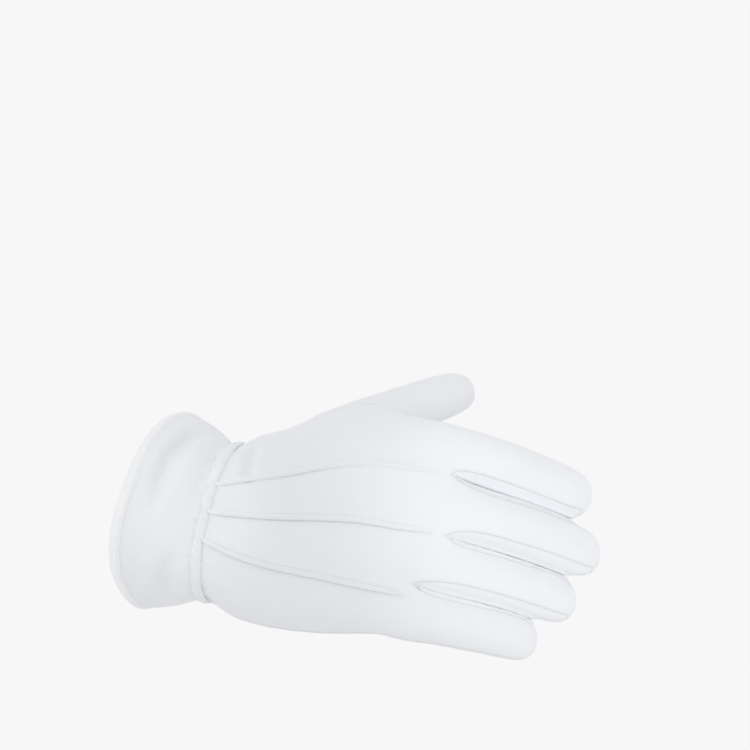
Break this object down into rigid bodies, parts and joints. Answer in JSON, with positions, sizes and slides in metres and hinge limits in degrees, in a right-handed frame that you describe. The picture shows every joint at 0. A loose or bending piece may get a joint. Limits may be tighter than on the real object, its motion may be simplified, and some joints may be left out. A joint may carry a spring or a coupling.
{
  "type": "dress glove",
  "caption": "White parade glove for the right hand, as worn: flared cuff, gathered elastic wrist, raised points on the back and gussets between the fingers.",
  "frame": {"origin": "middle of the gathered wrist", "axes": "+X along the hand from the wrist to the fingertips, -Y out of the back of the hand, +Z towards the thumb side, as in the picture"},
  "size_m": [0.222, 0.094, 0.1298],
  "materials": {
    "cloth": "matt, soft stretch knit",
    "points": "matt, stitched welts of the same knit",
    "band": "matt knit, gathered over elastic"
  },
  "bodies": {
    "root": {"back": "cloth", "palm": "cloth", "thumb": "cloth", "fourchette_index_middle": "cloth", "fourchette_middle_ring": "cloth", "fourchette_ring_little": "cloth", "point_index": "points", "point_middle": "points", "point_ring": "points", "wrist_band": "band", "cuff": "cloth", "cuff_hem": "cloth"}
  },
  "joints": []
}
